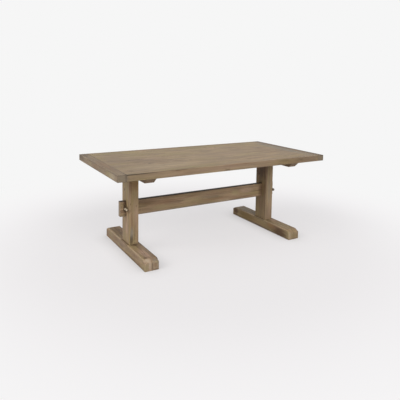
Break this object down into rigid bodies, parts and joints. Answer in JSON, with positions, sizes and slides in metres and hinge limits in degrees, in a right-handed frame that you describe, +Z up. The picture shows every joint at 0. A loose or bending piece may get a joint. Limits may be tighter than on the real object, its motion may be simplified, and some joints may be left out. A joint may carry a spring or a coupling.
{
  "type": "trestle dining table",
  "caption": "Rectangular plank-top dining table with breadboard ends on two post-and-foot trestles, tied by a stretcher whose through tenons are locked by loose round pegs.",
  "frame": {"origin": "on the floor under the middle of the table top", "axes": "+X along the table's length, +Y across it towards the back, +Z up"},
  "size_m": [1.98, 0.98, 0.762],
  "materials": {
    "plank_wood": "weathered grey-brown stain under a matt finish, grain along the table",
    "breadboard_wood": "weathered grey-brown stain under a matt finish, grain across the table",
    "foot_wood": "weathered grey-brown stain under a matt finish",
    "post_wood": "weathered grey-brown stain under a matt finish",
    "beam_wood": "weathered grey-brown stain under a matt finish",
    "stretcher_wood": "weathered grey-brown stain under a matt finish",
    "peg_wood": "turned hardwood, lightly stained",
    "zinc_steel": "zinc-plated steel",
    "nylon": "black nylon"
  },
  "bodies": {
    "table": {"plank_1": "plank_wood", "plank_2": "plank_wood", "plank_3": "plank_wood", "plank_4": "plank_wood", "plank_5": "plank_wood", "plank_6": "plank_wood", "plank_7": "plank_wood", "breadboard_left": "breadboard_wood", "breadboard_pins_left": "peg_wood", "foot_left_outer": "foot_wood", "foot_left_inner": "foot_wood", "post_left": "post_wood", "top_beam_left": "beam_wood", "top_screws_left": "zinc_steel", "top_washers_left": "zinc_steel", "leveller_nuts_left": "zinc_steel", "breadboard_right": "breadboard_wood", "breadboard_pins_right": "peg_wood", "foot_right_outer": "foot_wood", "foot_right_inner": "foot_wood", "post_right": "post_wood", "top_beam_right": "beam_wood", "top_screws_right": "zinc_steel", "top_washers_right": "zinc_steel", "leveller_nuts_right": "zinc_steel", "stretcher": "stretcher_wood"},
    "peg_left": {"peg_left": "peg_wood"},
    "leveller_pad_left_front": {"leveller_pad_left_front": "nylon"},
    "leveller_stem_left_front": {"leveller_stem_left_front": "zinc_steel"},
    "leveller_pad_left_back": {"leveller_pad_left_back": "nylon"},
    "leveller_stem_left_back": {"leveller_stem_left_back": "zinc_steel"},
    "peg_right": {"peg_right": "peg_wood"},
    "leveller_pad_right_front": {"leveller_pad_right_front": "nylon"},
    "leveller_stem_right_front": {"leveller_stem_right_front": "zinc_steel"},
    "leveller_pad_right_back": {"leveller_pad_right_back": "nylon"},
    "leveller_stem_right_back": {"leveller_stem_right_back": "zinc_steel"}
  },
  "joints": [
    {"name": "peg_left_pull", "type": "slide", "parent": "table", "child": "peg_left", "axis": [0, -1, 0], "range_m": [0, 0.12]},
    {"name": "leveller_left_front_travel", "type": "slide", "parent": "table", "child": "leveller_pad_left_front", "axis": [0, 0, -1], "range_m": [0, 0.012]},
    {"name": "leveller_left_front_turn", "type": "hinge", "parent": "leveller_pad_left_front", "child": "leveller_stem_left_front", "pos_m": [-0.702, -0.385, 0], "axis": [0, 0, -1], "range_deg": [0, 3456]},
    {"name": "leveller_left_back_travel", "type": "slide", "parent": "table", "child": "leveller_pad_left_back", "axis": [0, 0, -1], "range_m": [0, 0.012]},
    {"name": "leveller_left_back_turn", "type": "hinge", "parent": "leveller_pad_left_back", "child": "leveller_stem_left_back", "pos_m": [-0.702, 0.385, 0], "axis": [0, 0, -1], "range_deg": [0, 3456]},
    {"name": "peg_right_pull", "type": "slide", "parent": "table", "child": "peg_right", "axis": [0, -1, 0], "range_m": [0, 0.12]},
    {"name": "leveller_right_front_travel", "type": "slide", "parent": "table", "child": "leveller_pad_right_front", "axis": [0, 0, -1], "range_m": [0, 0.012]},
    {"name": "leveller_right_front_turn", "type": "hinge", "parent": "leveller_pad_right_front", "child": "leveller_stem_right_front", "pos_m": [0.702, -0.385, 0], "axis": [0, 0, -1], "range_deg": [0, 3456]},
    {"name": "leveller_right_back_travel", "type": "slide", "parent": "table", "child": "leveller_pad_right_back", "axis": [0, 0, -1], "range_m": [0, 0.012]},
    {"name": "leveller_right_back_turn", "type": "hinge", "parent": "leveller_pad_right_back", "child": "leveller_stem_right_back", "pos_m": [0.702, 0.385, 0], "axis": [0, 0, -1], "range_deg": [0, 3456]}
  ],
  "couplings": [
    {"joint": "leveller_left_front_turn", "follows": "leveller_left_front_travel", "rad_per_m": 5026.5},
    {"joint": "leveller_left_back_turn", "follows": "leveller_left_back_travel", "rad_per_m": 5026.5},
    {"joint": "leveller_right_front_turn", "follows": "leveller_right_front_travel", "rad_per_m": 5026.5},
    {"joint": "leveller_right_back_turn", "follows": "leveller_right_back_travel", "rad_per_m": 5026.5}
  ]
}
